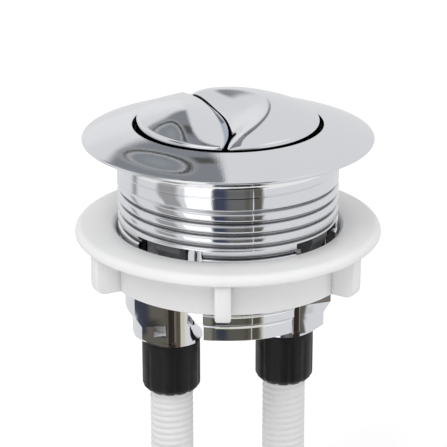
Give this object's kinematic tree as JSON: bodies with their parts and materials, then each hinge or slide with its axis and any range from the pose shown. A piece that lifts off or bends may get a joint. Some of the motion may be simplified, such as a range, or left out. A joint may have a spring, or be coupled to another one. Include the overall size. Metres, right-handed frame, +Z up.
{
  "type": "push button cistern actuator",
  "caption": "Dual flush push button for a cistern lid: chromed bezel with a threaded barrel, split domed button, finned lock nut and adjustable push rods.",
  "frame": {"origin": "centre of the bezel's rim, on the barrel's axis", "axes": "+Z up out of the lid along the barrel; X through both push rods, half flush side at -X; -Y towards the front"},
  "size_m": [0.0666, 0.0666, 0.1156],
  "materials": {
    "chromed_bezel": "bright chrome plate on plastic",
    "chromed_cap": "bright chrome plate on plastic",
    "chromed_plunger": "bright chrome plate on plastic",
    "grey_plastic": "satin moulded plastic",
    "spring_steel": "drawn wire",
    "black_plastic": "semi-gloss moulded plastic",
    "white_plastic": "semi-gloss moulded plastic",
    "nut_plastic": "satin translucent white plastic"
  },
  "bodies": {
    "barrel": {"bezel_barrel": "chromed_bezel", "guide_cage": "grey_plastic", "half_flush_spring": "spring_steel", "full_flush_spring": "spring_steel"},
    "half_flush_button": {"half_flush_cap": "chromed_cap", "half_flush_plunger": "chromed_plunger", "half_flush_collar": "black_plastic"},
    "full_flush_button": {"full_flush_cap": "chromed_cap", "full_flush_plunger": "chromed_plunger", "full_flush_collar": "black_plastic"},
    "half_flush_push_rod": {"half_flush_rod": "white_plastic"},
    "full_flush_push_rod": {"full_flush_rod": "white_plastic"},
    "nut": {"lock_nut": "nut_plastic"}
  },
  "joints": [
    {"name": "half_flush_press", "type": "slide", "parent": "barrel", "child": "half_flush_button", "axis": [0, 0, -1], "range_m": [0, 0.006], "stiffness_N_per_m": 400, "springref_m": -0.004, "deforming": ["half_flush_spring"]},
    {"name": "full_flush_press", "type": "slide", "parent": "barrel", "child": "full_flush_button", "axis": [0, 0, -1], "range_m": [0, 0.006], "stiffness_N_per_m": 400, "springref_m": -0.004, "deforming": ["full_flush_spring"]},
    {"name": "half_flush_rod_adjust", "type": "slide", "parent": "half_flush_button", "child": "half_flush_push_rod", "axis": [0, 0, -1], "range_m": [-0.006, 0]},
    {"name": "full_flush_rod_adjust", "type": "slide", "parent": "full_flush_button", "child": "full_flush_push_rod", "axis": [0, 0, -1], "range_m": [-0.006, 0]},
    {"name": "nut_travel", "type": "slide", "parent": "barrel", "child": "nut", "axis": [0, 0, 1], "range_m": [-0.005, 0.013]}
  ]
}
